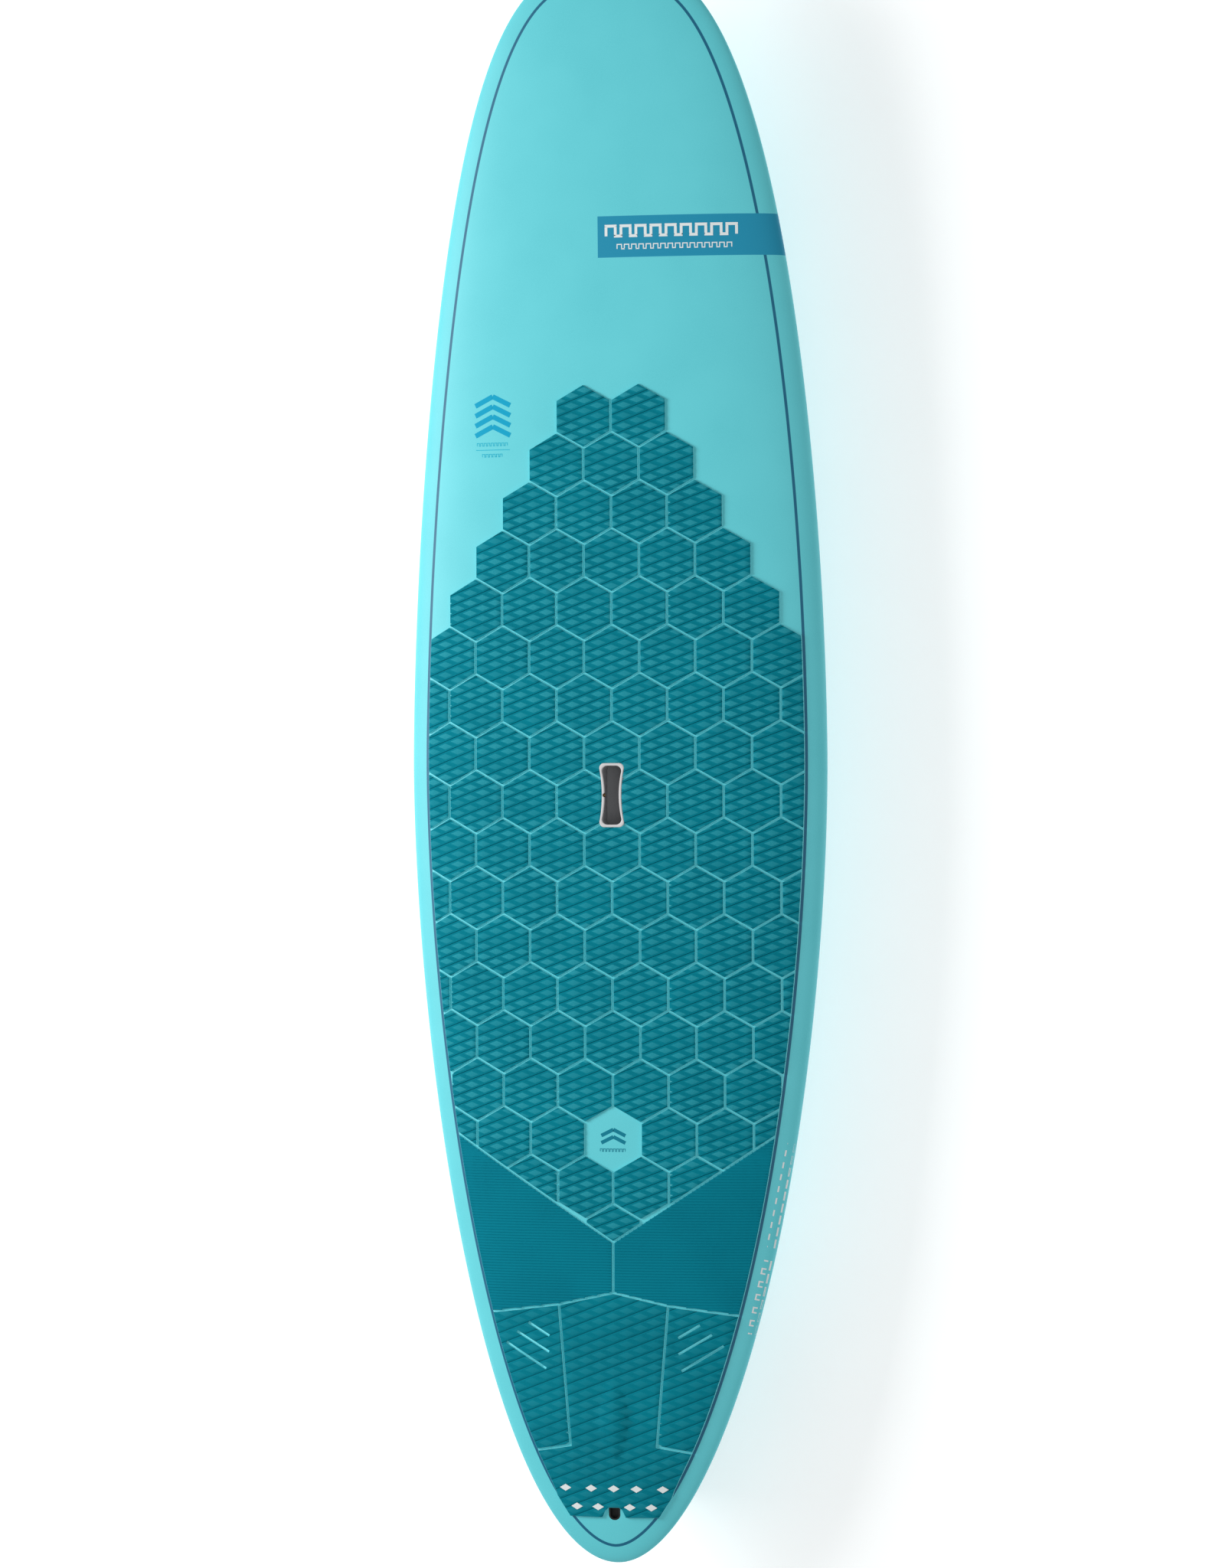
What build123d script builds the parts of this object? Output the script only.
from build123d import *
import math
import os

# Hard composite stand up paddleboard. +Y is the nose, +Z the deck, X = 0 the centre line,
# Y = 0 the middle of the length. All sizes are in millimetres.

# Hull
LENGTH = 2870.0
WIDTH = 762.0
THICKNESS = 108.0
NOSE_ROCKER = 110.0
TAIL_ROCKER = 79.0
ROCKER_POWER = 2.4
NOSE_CURVE = (1.743, 0.333)
TAIL_CURVE = (1.776, 0.518)
FOIL_POWER = 1.7
RAIL_SHARE = 0.45
DECK_POWER = 2.2
BOTTOM_POWER = 3.0
ARC_STEPS = 24
ARC_CROWDING = 0.09
SKIN = 2.5
TIP_SOLID = 30.0
BOND = 0.2
STATION_ANGLES = (0, 12, 24, 36, 48, 60, 70, 78, 84, 87.5)
STRINGER_WIDTH = 5.0
FOAM_WALL = 8.0

# Deck pad
PAD_THICKNESS = 4.0
TAIL_PAD_THICKNESS = 5.0
GLUE = 0.15
GROOVE = 3.7
PAD_INSET = 35.5
ROWS = 18
NOSE_TO_FIRST_ROW = 810.6
TILE_ASPECT = 1.1734
ROW_LIMITS = (7, 8)
BADGE_ROW = 16
SMALLEST_TILE = 350.0
LAST_ROW_LAP = 11.6

# Panels behind the tiles: distances from the tail end and from the centre line
VEE_POINT = 577.3
VEE_SLOPE = 0.656
TAIL_SEAM = ((0.0, 487.0), (100.0, 465.0), (400.0, 425.0))
SIDE_SEAM = ((100.0, 465.0), (79.0, 213.0), (250.0, 183.0))
KICK_FRONT = 150.0
TAIL_EDGE = ((109.0, 133.0), (104.5, 120.0), (81.6, 84.5), (21.0, 84.0), (15.0, 97.0), (9.0, 102.0))
SLASHES = (((155, 430), (120, 409)), ((176.5, 413), (120.5, 380)), ((197, 393), (126, 350)))
ARCH_CENTRE = 260.0
ARCH_LENGTH = 141.0
ARCH_WIDTH = 51.0
ARCH_HEIGHT = 8.0
DIAMOND = (21.7, 12.8, 0.4)
DIAMOND_ROWS = ((136.0, (0.0, 41.4, 89.0)), (103.0, (29.0, 68.0)))

# Carry handle, its finger well and the vent in the well's left wall
HANDLE_Y = -56.5
HANDLE_LENGTH = 115.0
HANDLE_WIDTH = 45.0
HANDLE_WAIST = 35.6
HANDLE_CORNER = 9.0
RIM_BAND = 4.7
RIM_PROUD = 0.6
RIM_GAP = 0.3
WELL_DEPTH = 44.0
WELL_WALL = 2.0
VENT_DROP = 6.0
VENT_HEAD = (4.2, 2.8)
VENT_STEM = (3.0, 9.0)
VENT_BORE = 1.0
VENT_RING = 1.2
MEMBRANE = (2.6, 0.6)
VENT_NOTCH = (9.0, 3.4)

# Leash plug
PLUG_FROM_TAIL = 97.0
PLUG_SLOT = (15.0, 30.0)
PLUG_WALL = 3.0
PLUG_DEPTH = 17.0
PLUG_FLOOR = 2.5
PLUG_PIN_RADIUS = 2.0
PLUG_PIN_SEAT = 2.0
PLUG_PIN_AHEAD = 7.0
PLUG_PIN_DROP = 6.0

# Centre fin, its box and its screw: depths are measured into the board from the bottom skin
FIN_FROM_TAIL = 268.0
BOX_WIDTH = 32.0
BOX_END = 11.0
BOX_ROOF = 4.0
SLOT_WIDTH = 9.6
SLOT_LENGTH = 258.0
SLOT_DEPTH = 22.0
GROOVE_WIDTH = 15.0
GROOVE_BAND = (12.0, 17.0)
ENTRY_LENGTH = 12.0
FIN_DEPTH = 203.0
FIN_ROOT = 178.0
FIN_SWEEP = 200.0
FIN_TRAIL = 0.12
FIN_CLEARANCE = 0.5
FIN_TAB_LENGTH = 186.0
FIN_TAB_HEIGHT = 19.0
FIN_ROOT_GAP = 1.0
LUG_LENGTH = 15.0
LUG_BAND = (8.0, 11.0)
SCREW_RADIUS = 2.0
SCREW_HOLE = 2.3
SCREW_HEAD = (3.8, 2.6)
NUT_LENGTH = 12.0
NUT_THICKNESS = 3.0
NUT_GAP = 0.4
PIN_RADIUS = 2.0
PIN_FROM_END = 12.0

# Side fins, their boxes and grub screws
SIDE_FROM_TAIL = 375.0
SIDE_FROM_RAIL = 72.0
SIDE_TOE = 3.0
SIDE_CANT = 4.0
SIDE_BOX_WIDTH = 24.0
SIDE_BOX_END = 12.0
SIDE_SLOT_WIDTH = 7.2
SIDE_SLOT_LENGTH = 98.0
SIDE_SLOT_DEPTH = 14.0
SIDE_DEPTH = 112.0
SIDE_ROOT = 112.0
SIDE_SWEEP = 112.0
SIDE_CLEARANCE = 0.3
SIDE_TAB_HEIGHT = 13.0
GRUB_RADIUS = 2.0
GRUB_LENGTH = 5.0
GRUB_OFFSET = 4.6
GRUB_TILT = 35.0
GRUB_SPREAD = 34.0


def from_tail(distance):
    return distance - LENGTH / 2


def section_size(y, inset=0.0):
    """Half width and thickness at a station, of the hull or of the foam inside its skin."""
    reach = min(abs(y) / (LENGTH / 2 - TIP_SOLID * inset / SKIN), 1.0)
    power, fullness = NOSE_CURVE if y > 0 else TAIL_CURVE
    half_width = (WIDTH / 2 - inset) * (1 - reach**power) ** fullness
    thickness = (THICKNESS - 2 * inset) * (1 - reach**FOIL_POWER) ** 0.5
    return half_width, thickness


def rocker(y):
    rise = NOSE_ROCKER if y > 0 else TAIL_ROCKER
    return rise * abs(2 * y / LENGTH) ** ROCKER_POWER


def rail_height(y):
    return rocker(y) + RAIL_SHARE * section_size(y)[1]


def arc_height(x, half_width, height, power):
    return height * (1 - min(abs(x) / half_width, 1.0) ** power) ** (1 / power)


def deck_height(x, y):
    half_width, thickness = section_size(y)
    return rail_height(y) + arc_height(x, half_width, (1 - RAIL_SHARE) * thickness, DECK_POWER)


def bottom_height(x, y):
    half_width, thickness = section_size(y)
    return rail_height(y) - arc_height(x, half_width, RAIL_SHARE * thickness, BOTTOM_POWER)


# Hull


def arc_shares():
    """Places across the unit arc, closer together towards both rails."""
    shares = [step / ARC_STEPS for step in range(ARC_STEPS + 1)]
    angles = [math.pi * (s - ARC_CROWDING * math.sin(2 * math.pi * s)) for s in shares]
    return [-math.cos(angle) for angle in angles]


def arc_points(y, inset, side):
    half_width, thickness = section_size(y, inset)
    power = DECK_POWER if side > 0 else BOTTOM_POWER
    height = thickness * (1 - RAIL_SHARE if side > 0 else -RAIL_SHARE)
    points = []
    for across in arc_shares():
        up = (1 - abs(across) ** power) ** (1 / power)
        points.append(Vector(half_width * across, y, rail_height(y) + height * up))
    return points


def arc_knots(side):
    """Spline parameters by length along the middle section, shared by every station."""
    points = arc_points(0, 0, side)
    lengths = [0.0]
    for start, end in zip(points, points[1:]):
        lengths.append(lengths[-1] + (end - start).length)
    return [length / lengths[-1] for length in lengths]


def arc_edge(y, inset, side):
    """Rail to rail arc of one station over (+1) or under (-1) the rails."""
    return Edge.make_spline(arc_points(y, inset, side), parameters=arc_knots(side))


def stations(inset):
    """Station places from tail to nose, closer together towards both ends."""
    half_length = LENGTH / 2 - TIP_SOLID * inset / SKIN
    nose = [half_length * math.sin(math.radians(a)) ** (2 / NOSE_CURVE[0]) for a in STATION_ANGLES]
    tail = [-half_length * math.sin(math.radians(a)) ** (2 / TAIL_CURVE[0]) for a in STATION_ANGLES]
    return [*reversed(tail), *nose[1:]]


def ring(y, inset=0.0):
    return Wire([arc_edge(y, inset, 1), arc_edge(y, inset, -1)])


def hull(inset=0.0):
    """Closed body through all stations, square at the last station of each end."""
    return Solid.make_loft([ring(y, inset) for y in stations(inset)])


def skin(side):
    """Deck (+1) or bottom (-1) laminate: the space between the hull and the foam, split at the rails."""
    rings = []
    for y in stations(SKIN):
        outer, inner = arc_edge(y, 0.0, side), arc_edge(y, SKIN, side)
        rails = [Edge.make_line(outer @ end, inner @ end) for end in (0, 1)]
        rings.append(Wire([outer, inner, *rails]))
    return Solid.make_loft(rings)


def tip_block(side):
    """Solid end of the board beyond the foam, rounded off to the very tip."""
    start = stations(SKIN)[-1 if side > 0 else 0]
    power = (NOSE_CURVE if side > 0 else TAIL_CURVE)[0]
    first = math.degrees(math.asin((2 * abs(start) / LENGTH) ** (power / 2)))
    angles = [first + (89 - first) * step / 4 for step in range(1, 5)]
    places = [start] + [side * LENGTH / 2 * math.sin(math.radians(a)) ** (2 / power) for a in angles]
    tip = Vertex(0, side * LENGTH / 2, rail_height(side * LENGTH / 2))
    return Solid.make_loft([*[ring(y) for y in places], tip])


# Plan shapes


def plan(points):
    return Face(Wire.make_polygon([Vector(*point) for point in points], close=True))


def mirrored(points):
    return [(-x, y) for x, y in points]


def both_sides(points):
    """Closed plan shape from its right half, listed from the centre line or edge round to it."""
    return plan(list(points) + mirrored(reversed(points)))


def column(face):
    """A plan face as an upright prism from the level of the rails there to well over the deck."""
    middle = face.center()
    start = Location((0, 0, rail_height(middle.Y)))
    return extrude(face.moved(start), amount=THICKNESS, dir=(0, 0, 1))


def common(shape, *areas):
    """The faces that a plan shape shares with every one of the areas."""
    faces = shape.faces()
    for area in areas:
        found = [face & area for face in faces]
        faces = [face for shared in found if shared is not None for face in shared.faces()]
    return faces


def outline_point(angle, curve):
    power, fullness = curve
    along = math.copysign(abs(math.sin(angle)) ** (2 / power), -angle) * LENGTH / 2
    side = math.copysign(1, math.cos(angle))
    return Vector(side * WIDTH / 2 * abs(math.cos(angle)) ** (2 * fullness), along)


def outline_points(inset):
    """Right half of the plan outline from nose to tail, moved squarely inwards by the inset."""
    points = []
    for step in range(-24, 25):
        angle = math.radians(90 * step / 24)
        curve = NOSE_CURVE if step < 0 else TAIL_CURVE
        before, after = (outline_point(angle + nudge, curve) for nudge in (-0.002, 0.002))
        forward = (after - before).normalized()
        points.append((before + after) * 0.5 + Vector(forward.Y, -forward.X) * inset)
    points[0] = Vector(0, points[0].Y)
    points[-1] = Vector(0, points[-1].Y)
    return points


def outline_width(y, inset):
    """Half width of the inset outline at a station, read between its points."""
    points = outline_points(inset)
    for ahead, behind in zip(points, points[1:]):
        if behind.Y <= y <= ahead.Y:
            share = (ahead.Y - y) / (ahead.Y - behind.Y)
            return ahead.X + share * (behind.X - ahead.X)
    return 0.0


def pad_area():
    right = outline_points(PAD_INSET)
    left = [Vector(-p.X, p.Y) for p in reversed(right[1:-1])]
    return Face(Wire([Edge.make_spline(right + left, periodic=True)]))


def layer(faces, body, low, high):
    """A sheet of the deck's own curve, between two heights over it, cut to the plan faces."""
    solids = []
    floor, roof = body.moved(Location((0, 0, low))), body.moved(Location((0, 0, high)))
    for face in faces:
        solids += ((column(face) & roof) - floor).solids()
    return Compound(solids)


def strips(points, width):
    """Even grooves along a line of plan points and along its mirror image."""
    bands = []
    for line in (list(points), mirrored(points)):
        for start, stop in zip(line, line[1:]):
            start, stop = Vector(*start), Vector(*stop)
            along = (stop - start).normalized() * width / 2
            side = Vector(-along.Y, along.X)
            corners = [start - along + side, stop + along + side, stop + along - side, start - along - side]
            bands.append(Face(Wire.make_polygon(corners, close=True)))
    return bands


def cut_faces(faces, cutters):
    for cutter in cutters:
        faces = [piece for face in faces for piece in (face - cutter).faces()]
    return faces


# Deck pad


def row_pitch():
    first = LENGTH / 2 - NOSE_TO_FIRST_ROW
    last = from_tail(VEE_POINT) + LAST_ROW_LAP
    return (first - last) / (ROWS - 1)


def vee(side):
    """Plan area in front of (+1) or behind (-1) the vee seam, half a groove clear of it."""
    tip = from_tail(VEE_POINT) + side * GROOVE / 2 * math.hypot(1, VEE_SLOPE)
    return both_sides([(0, tip), (WIDTH, tip + WIDTH * VEE_SLOPE), (WIDTH, side * LENGTH)])


def tile(x, y):
    """One six sided tile, pointed fore and aft, with half a groove taken off every side."""
    pitch = row_pitch()
    half = pitch * TILE_ASPECT / 2
    slant = math.hypot(1, pitch / 3 / half)
    point = pitch * 2 / 3 - GROOVE / 2 * slant
    wide = half - GROOVE / 2
    shoulder = point - wide * pitch / 3 / half
    front = [(wide, shoulder), (0, point), (-wide, shoulder)]
    corners = front + [(-dx, -dy) for dx, dy in front]
    return plan([(x + dx, y + dy) for dx, dy in corners])


def tile_row(row, area, handle):
    """Plan faces of one row; the outer tiles are cut to the pad's edge."""
    count = min(row + 1, ROW_LIMITS[row % 2])
    y = LENGTH / 2 - NOSE_TO_FIRST_ROW - (row - 1) * row_pitch()
    faces = []
    for index in range(count):
        x = (index - (count - 1) / 2) * row_pitch() * TILE_ASPECT
        if row == BADGE_ROW and abs(x) < GROOVE:
            continue
        faces += cut_faces(common(tile(x, y), area, vee(1)), [handle])
    return [face for face in faces if face.area > SMALLEST_TILE]


def tail_line(points):
    return [(x, from_tail(distance)) for x, distance in points]


def behind_tail_seam():
    return both_sides([*tail_line(TAIL_SEAM), (TAIL_SEAM[-1][0], -LENGTH)])


def rib_panels(area):
    """The two ribbed panels between the vee and the tail pad, right one first."""
    seams = strips(tail_line(TAIL_SEAM), GROOVE) + strips([(0, 0), (0, -LENGTH / 2)], GROOVE)
    faces = cut_faces(common(area, vee(-1)), [behind_tail_seam(), *seams])
    faces = sorted(faces, key=lambda face: face.area)[-2:]
    faces.sort(key=lambda face: face.center().X)
    return faces[1:], faces[:1]


def kick_area():
    """The end of the tail pad, which runs out over the paint and is notched round the leash plug."""
    front = from_tail(KICK_FRONT)
    overlap = 10.0
    start = [(outline_width(y, PAD_INSET), y) for y in (front + overlap, front)]
    return both_sides(start + tail_line(TAIL_EDGE))


def tail_pad(area):
    """Side panels and middle of the tail pad, as plan faces from left to right."""
    reach = from_tail(KICK_FRONT)
    ahead = both_sides([(WIDTH, 0), (WIDTH, reach)])
    main = common(area, behind_tail_seam(), ahead)[0]
    whole = (main + kick_area()).faces()
    cuts = strips(tail_line(TAIL_SEAM), GROOVE) + strips(tail_line(SIDE_SEAM), GROOVE)
    for slash in SLASHES:
        cuts += strips(tail_line(slash), GROOVE)
    faces = [face for face in cut_faces(whole, cuts) if face.area > SMALLEST_TILE]
    return sorted(faces, key=lambda face: face.center().X)


def arch_bar(body):
    """Low raised dome under the back foot."""
    y = from_tail(ARCH_CENTRE)
    level = GLUE + TAIL_PAD_THICKNESS
    dome = scale(Sphere(1), by=(ARCH_WIDTH / 2, ARCH_LENGTH / 2, ARCH_HEIGHT))
    return Pos(0, y, deck_height(0, y) + level) * dome - body.moved(Location((0, 0, level)))


def diamond_faces():
    wide, long, _ = DIAMOND
    faces = []
    for distance, offsets in DIAMOND_ROWS:
        y = from_tail(distance)
        for x in sorted({side * offset for offset in offsets for side in (-1, 1)}):
            faces.append(plan([(x + wide / 2, y), (x, y + long / 2), (x - wide / 2, y), (x, y - long / 2)]))
    return faces


# Carry handle and vent


def dog_bone(margin):
    """Plan of the handle, waisted in the middle, grown or shrunk by the margin."""
    half, wide = HANDLE_LENGTH / 2 + margin, HANDLE_WIDTH / 2 + margin
    waist, corner = HANDLE_WAIST / 2 + margin, HANDLE_CORNER + margin
    turn = corner * (1 - math.sqrt(0.5))
    edges = []
    for x in (1, -1):
        top, low = (x * wide, half - corner), (x * wide, corner - half)
        edges.append(Edge.make_three_point_arc(top, (x * waist, 0), low))
        for y in (1, -1):
            start, stop = (x * (wide - corner), y * half), (x * wide, y * (half - corner))
            middle = (x * (wide - turn), y * (half - turn))
            edges.append(Edge.make_three_point_arc(start, middle, stop))
    edges += [Edge.make_line((corner - wide, y * half), (wide - corner, y * half)) for y in (1, -1)]
    return Face(Wire(edges)).moved(Location((0, HANDLE_Y, 0)))


def well_size():
    """Half width and half length of the finger well's hollow, under the middle of the rim."""
    return HANDLE_WIDTH / 2 - RIM_BAND / 2 - WELL_WALL, HANDLE_LENGTH / 2 - RIM_BAND / 2 - WELL_WALL


def well_block(grow):
    """Upright block of the finger well, grown by a wall all round and below."""
    half, length = well_size()
    floor = deck_height(0, HANDLE_Y) - WELL_DEPTH - grow
    shape = RectangleRounded(2 * (half + grow), 2 * (length + grow), HANDLE_CORNER)
    return extrude(Pos(0, HANDLE_Y, floor) * shape, amount=WELL_DEPTH + grow + THICKNESS / 2, dir=(0, 0, 1))


def on_vent(solid, start=0.0):
    """Puts a turned piece on the vent's axis, which points from the left wall into the well."""
    wall = Location((-well_size()[0], HANDLE_Y, deck_height(0, HANDLE_Y) - VENT_DROP), (0, 90, 0))
    return wall * Pos(0, 0, start) * solid


def turned(radius, length):
    return Cylinder(radius, length, align=(Align.CENTER, Align.CENTER, Align.MIN))


def vent_stem():
    return on_vent(turned(VENT_STEM[0], VENT_STEM[1] + VENT_RING), -VENT_STEM[1])


def vent_pieces():
    """Brass body, the membrane disc in its mouth and the ring that seals it to the wall."""
    radius, height = VENT_HEAD
    disc, thin = MEMBRANE
    body = on_vent(turned(radius, height), VENT_RING) + vent_stem()
    mouth = on_vent(turned(disc, height / 2), VENT_RING + height / 2)
    bore = on_vent(turned(VENT_BORE, VENT_STEM[1] + VENT_RING + height), -VENT_STEM[1])
    membrane = on_vent(turned(disc, thin), VENT_RING + height / 2)
    ring = on_vent(turned(radius, VENT_RING)) - vent_stem()
    return body - mouth - bore, membrane, ring


def handle_rim(body):
    notch_length, notch_depth = VENT_NOTCH
    edge = -HANDLE_WAIST / 2 + RIM_BAND
    notch = Rectangle(notch_depth + RIM_BAND, notch_length)
    notch = Pos(edge - notch_depth / 2 + RIM_BAND / 2, HANDLE_Y) * notch
    band = dog_bone(0) - dog_bone(-RIM_BAND) - notch
    return layer(band.faces(), body, GLUE, GLUE + PAD_THICKNESS + RIM_PROUD)


# Leash plug


def plug_block(grow):
    wide, long = PLUG_SLOT
    y = from_tail(PLUG_FROM_TAIL)
    floor = deck_height(0, y) - PLUG_DEPTH - (PLUG_FLOOR if grow else 0) - max(grow - PLUG_WALL, 0)
    shape = RectangleRounded(wide + 2 * grow, long + 2 * grow, wide / 2 + grow - 0.5)
    return extrude(Pos(0, y, floor) * shape, amount=THICKNESS, dir=(0, 0, 1))


def leash_pin():
    y = from_tail(PLUG_FROM_TAIL) + PLUG_PIN_AHEAD
    z = deck_height(0, y) - PLUG_PIN_DROP
    return Pos(0, y, z) * Rot(0, 90, 0) * Cylinder(PLUG_PIN_RADIUS, PLUG_SLOT[0] + 2 * PLUG_PIN_SEAT)


# Fins


def seat(x, y, toe=0.0):
    """Frame on the bottom skin: its Y runs forward along the skin and its Z points into the board."""
    step = 1.0
    slope_x = (bottom_height(x + step, y) - bottom_height(x - step, y)) / (2 * step)
    slope_y = (bottom_height(x, y + step) - bottom_height(x, y - step)) / (2 * step)
    inward = Vector(-slope_x, -slope_y, 1).normalized()
    forward = Vector(-math.sin(math.radians(toe)), math.cos(math.radians(toe)), 0)
    across = forward.cross(inward).normalized()
    return Plane(origin=(x, y, bottom_height(x, y)), x_dir=across, z_dir=inward).location


def block(width, length, low, high, y=0.0):
    shape = Box(width, length, high - low, align=(Align.CENTER, Align.CENTER, Align.MIN))
    return Pos(0, y, low) * shape


def foil(chord, lead, depth, thickness):
    """One fin section: rounded in front, fullest a third of the way back, thin behind."""
    wall = []
    for step in range(11):
        share = (1 - math.cos(math.pi * step / 10)) / 2
        swell = 2.969 * share**0.5 - 1.26 * share - 3.516 * share**2 + 2.843 * share**3 - 1.015 * share**4
        fullness = swell * (1 - FIN_TRAIL) + FIN_TRAIL * share
        wall.append(Vector(thickness / 2 * fullness, lead - chord * share, -depth))
    other = [Vector(-p.X, p.Y, p.Z) for p in wall]
    shares = [step / 10 for step in range(11)]
    sides = [Edge.make_spline(points, parameters=shares) for points in (wall, other)]
    return Wire([*sides, Edge.make_line(wall[-1], other[-1])])


def blade(depth, root, sweep, thickness):
    """Raked fin blade lofted through foil sections down to a rounded tip."""
    rings = []
    for step in range(9):
        share = math.sin(math.radians(10 * step))
        chord = root * (1 - share**1.5) ** 0.65
        lead = root / 2 - sweep * share**1.6
        thick = thickness * (chord / root) ** 0.6
        rings.append(foil(chord, lead, FIN_ROOT_GAP + (depth - FIN_ROOT_GAP) * share, thick))
    return Solid.make_loft([*rings, Vertex(0, root / 2 - sweep, -depth)])


def centre_seat():
    return seat(0, from_tail(FIN_FROM_TAIL))


def centre_box_block(grow=0.0):
    length = SLOT_LENGTH + 2 * BOX_END
    depth = SLOT_DEPTH + BOX_ROOF
    return centre_seat() * block(BOX_WIDTH + 2 * grow, length + 2 * grow, -BOX_ROOF, depth + grow)


def centre_fin_box(body):
    slot = block(SLOT_WIDTH, SLOT_LENGTH, -2 * BOX_ROOF, SLOT_DEPTH)
    groove = block(GROOVE_WIDTH, SLOT_LENGTH, *GROOVE_BAND)
    entry = block(GROOVE_WIDTH, ENTRY_LENGTH, -2 * BOX_ROOF, GROOVE_BAND[1])
    return (centre_box_block() & body) - centre_seat() * (slot + groove + entry)


def fin_screw_place():
    return Pos(0, FIN_TAB_LENGTH / 2 - LUG_LENGTH / 2, 0)


def fin_cross_pin():
    half = GROOVE_WIDTH / 2 - FIN_CLEARANCE
    y = PIN_FROM_END - FIN_TAB_LENGTH / 2
    return Pos(0, y, sum(GROOVE_BAND) / 2) * Rot(0, 90, 0) * Cylinder(PIN_RADIUS, 2 * half)


def centre_fin():
    """Blade, the tab that sits in the box slot and the thin lug that the screw clamps."""
    thick = SLOT_WIDTH - 2 * FIN_CLEARANCE
    tab_length = FIN_TAB_LENGTH - LUG_LENGTH
    tab = block(thick, tab_length, -FIN_ROOT_GAP, FIN_TAB_HEIGHT, -LUG_LENGTH / 2)
    lug = block(thick, LUG_LENGTH + 2, *LUG_BAND, FIN_TAB_LENGTH / 2 - LUG_LENGTH / 2 - 1)
    hole = fin_screw_place() * turned(SCREW_HOLE, FIN_TAB_HEIGHT)
    fin = blade(FIN_DEPTH, FIN_ROOT, FIN_SWEEP, thick) + tab + lug
    return centre_seat() * (fin - hole - fin_cross_pin())


def nut_band():
    low = GROOVE_BAND[0] + NUT_GAP
    return low, low + NUT_THICKNESS


def fin_screw():
    radius, height = SCREW_HEAD
    head = fin_screw_place() * Pos(0, 0, LUG_BAND[0] - height) * turned(radius, height)
    shank = fin_screw_place() * Pos(0, 0, LUG_BAND[0]) * turned(SCREW_RADIUS, nut_band()[1] - LUG_BAND[0])
    driver = fin_screw_place() * block(1.2, 2 * radius, 0, LUG_BAND[0] - height / 2)
    return centre_seat() * (head + shank - driver)


def fin_plate_nut():
    width = GROOVE_WIDTH - 2 * FIN_CLEARANCE
    plate = fin_screw_place() * block(width, NUT_LENGTH, *nut_band())
    return centre_seat() * (plate - fin_screw_place() * turned(SCREW_RADIUS, SLOT_DEPTH))


def side_seat():
    y = from_tail(SIDE_FROM_TAIL)
    x = section_size(y)[0] - SIDE_FROM_RAIL
    return seat(x, y, SIDE_TOE) * Rot(0, -SIDE_CANT, 0)


def side_box_block(grow=0.0):
    length = SIDE_SLOT_LENGTH + 2 * SIDE_BOX_END
    depth = SIDE_SLOT_DEPTH + BOX_ROOF
    return side_seat() * block(SIDE_BOX_WIDTH + 2 * grow, length + 2 * grow, -2 * BOX_ROOF, depth + grow)


def grub_screws():
    """Two short screws that come in from the skin and clamp the tab sideways."""
    tilt = Rot(0, -GRUB_TILT, 0)
    one = tilt * Pos(0, 0, 0.6) * turned(GRUB_RADIUS, GRUB_LENGTH)
    socket = tilt * extrude(RegularPolygon(GRUB_RADIUS * 0.5, 6), amount=GRUB_LENGTH / 2)
    screw = one - socket
    across = SIDE_SLOT_WIDTH / 2 + GRUB_OFFSET
    return [side_seat() * Pos(across, y, 0) * screw for y in (-GRUB_SPREAD, GRUB_SPREAD)]


def grub_holes():
    tilt = Rot(0, -GRUB_TILT, 0)
    hole = tilt * Pos(0, 0, -GRUB_LENGTH) * turned(GRUB_RADIUS, 2 * GRUB_LENGTH + 0.6)
    places = [Pos(SIDE_SLOT_WIDTH / 2 + GRUB_OFFSET, y, 0) for y in (-GRUB_SPREAD, GRUB_SPREAD)]
    return [side_seat() * place * hole for place in places]


def side_fin_box(body):
    slot = side_seat() * block(SIDE_SLOT_WIDTH, SIDE_SLOT_LENGTH, -3 * BOX_ROOF, SIDE_SLOT_DEPTH)
    box = (side_box_block() & body) - slot
    for hole in grub_holes():
        box = box - hole
    return box


def side_fin():
    thick = SIDE_SLOT_WIDTH - 2 * SIDE_CLEARANCE
    tab = block(thick, SIDE_SLOT_LENGTH - 2 * SIDE_CLEARANCE, -FIN_ROOT_GAP, SIDE_TAB_HEIGHT)
    return side_seat() * (blade(SIDE_DEPTH, SIDE_ROOT, SIDE_SWEEP, thick) + tab)


# The whole board


def both(shape):
    """A right hand piece together with its mirror image on the left."""
    return Compound([*shape.solids(), *mirror(shape, about=Plane.YZ).solids()])


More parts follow.
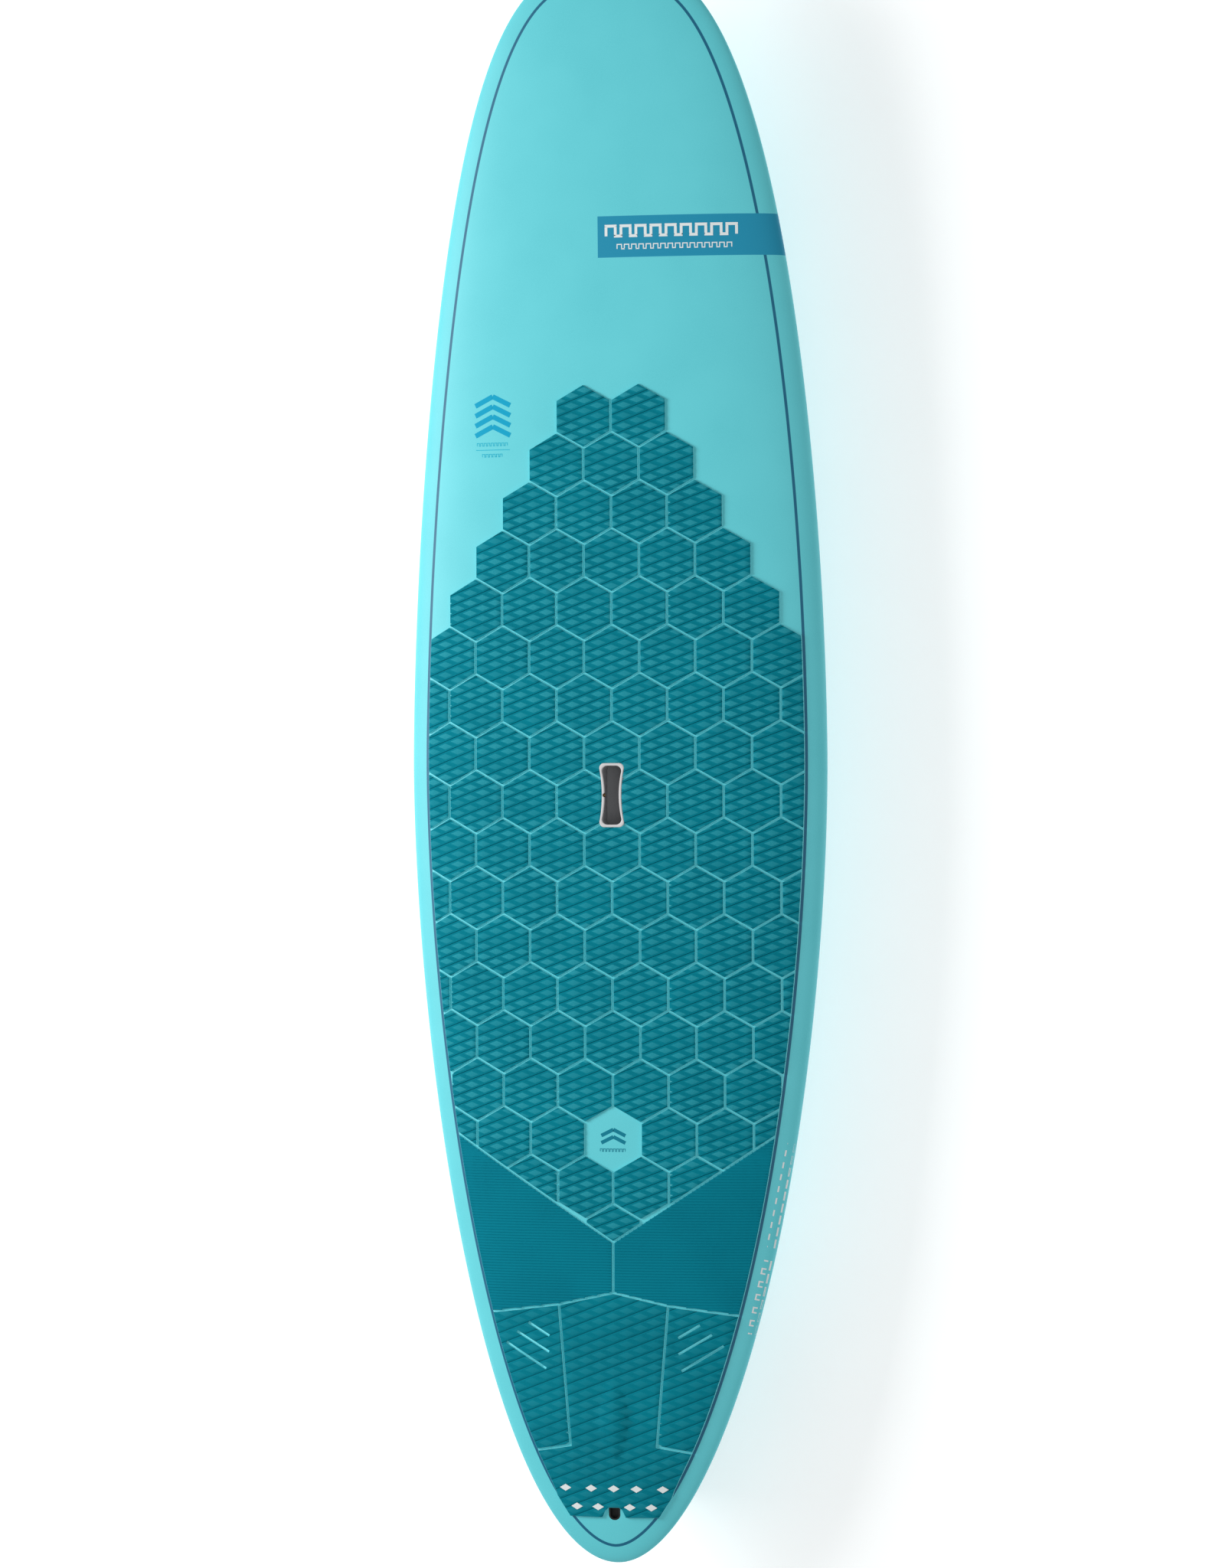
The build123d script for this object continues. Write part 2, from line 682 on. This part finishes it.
def hull_pieces():
    """Skins, stringer, foam halves and the hard foam blocks that the fittings are set in."""
    foam = hull(SKIN + BOND)
    well, plug = well_block(WELL_WALL), plug_block(PLUG_WALL)
    centre, side = centre_box_block(), side_box_block()
    side_outer = side_box_block(FOAM_WALL) & foam
    blocks = {
        "handle_foam_block": (well_block(WELL_WALL + FOAM_WALL) & foam) - well - vent_stem(),
        "leash_foam_block": (plug_block(PLUG_WALL + FOAM_WALL) & foam) - plug - centre_box_block(FOAM_WALL),
        "fin_box_foam_block": (centre_box_block(FOAM_WALL) & foam) - centre,
        "side_box_foam_blocks": both(side_outer - side),
    }
    core = foam
    inserts = [
        well_block(WELL_WALL + FOAM_WALL),
        plug_block(PLUG_WALL + FOAM_WALL),
        centre_box_block(FOAM_WALL),
    ]
    for insert in [*inserts, *both(side_box_block(FOAM_WALL)).solids()]:
        core = core - insert
    tall = 6 * THICKNESS
    slab = Box(STRINGER_WIDTH, LENGTH, tall)
    half = Pos((STRINGER_WIDTH + WIDTH) / 2, 0, 0) * Box(WIDTH, LENGTH, tall)
    bottom = skin(-1) - centre
    for cutter in both(side).solids():
        bottom = bottom - cutter
    right = core & half
    pieces = {
        "deck_skin": skin(1) - well - plug,
        "bottom_skin": bottom,
        "nose_block": tip_block(1),
        "tail_block": tip_block(-1),
        "stringer": core & slab,
        "foam_core_right": right,
        "foam_core_left": mirror(right, about=Plane.YZ),
    }
    return pieces | blocks


def pad_pieces(body):
    area, handle = pad_area(), dog_bone(RIM_GAP)
    top = GLUE + PAD_THICKNESS
    pieces = {}
    for row in range(1, ROWS + 1):
        pieces[f"deck_pad_row_{row:02d}"] = layer(tile_row(row, area, handle), body, GLUE, top)
    right, left = rib_panels(area)
    pieces["ribbed_panel_right"] = layer(right, body, GLUE, top)
    pieces["ribbed_panel_left"] = layer(left, body, GLUE, top)
    tail_left, tail_middle, tail_right = tail_pad(area)
    kick = GLUE + TAIL_PAD_THICKNESS
    pieces["tail_pad_left"] = layer([tail_left], body, GLUE, kick)
    pieces["tail_pad_middle"] = layer([tail_middle], body, GLUE, kick)
    pieces["tail_pad_right"] = layer([tail_right], body, GLUE, kick)
    pieces["tail_arch_bar"] = arch_bar(body)
    pieces["tail_diamonds"] = layer(diamond_faces(), body, kick, kick + DIAMOND[2])
    return pieces


def fitting_pieces(body):
    vent_body, membrane, ring = vent_pieces()
    pin = leash_pin()
    right_box, right_fin = side_fin_box(body), side_fin()
    grubs = grub_screws()
    return {
        "handle_rim": handle_rim(body),
        "handle_well": (well_block(WELL_WALL) & body) - well_block(0) - vent_stem(),
        "vent_body": vent_body,
        "vent_membrane": membrane,
        "vent_ring": ring,
        "leash_plug_cup": (plug_block(PLUG_WALL) & body) - plug_block(0) - pin,
        "leash_plug_pin": pin,
        "centre_fin_box": centre_fin_box(body),
        "centre_fin": centre_fin(),
        "fin_screw": fin_screw(),
        "fin_plate_nut": fin_plate_nut(),
        "fin_cross_pin": centre_seat() * fin_cross_pin(),
        "side_fin_box_right": right_box,
        "side_fin_box_left": mirror(right_box, about=Plane.YZ),
        "side_fin_right": right_fin,
        "side_fin_left": mirror(right_fin, about=Plane.YZ),
        "side_fin_grub_screws": both(Compound(grubs)),
    }


def build():
    """All pieces by name, raised so that the tip of the centre fin stands at Z = 0."""
    body = hull()
    pieces = hull_pieces() | pad_pieces(body) | fitting_pieces(body)
    lift = Location((0, 0, -pieces["centre_fin"].bounding_box().min.Z))
    return {name: Compound(piece.solids()).moved(lift) for name, piece in pieces.items()}


def main():
    os.makedirs("parts", exist_ok=True)
    pieces = build()
    for name, piece in pieces.items():
        export_step(piece, os.path.join("parts", name + ".step"))
    print(len(pieces), "pieces written")


if __name__ == "__main__":
    main()
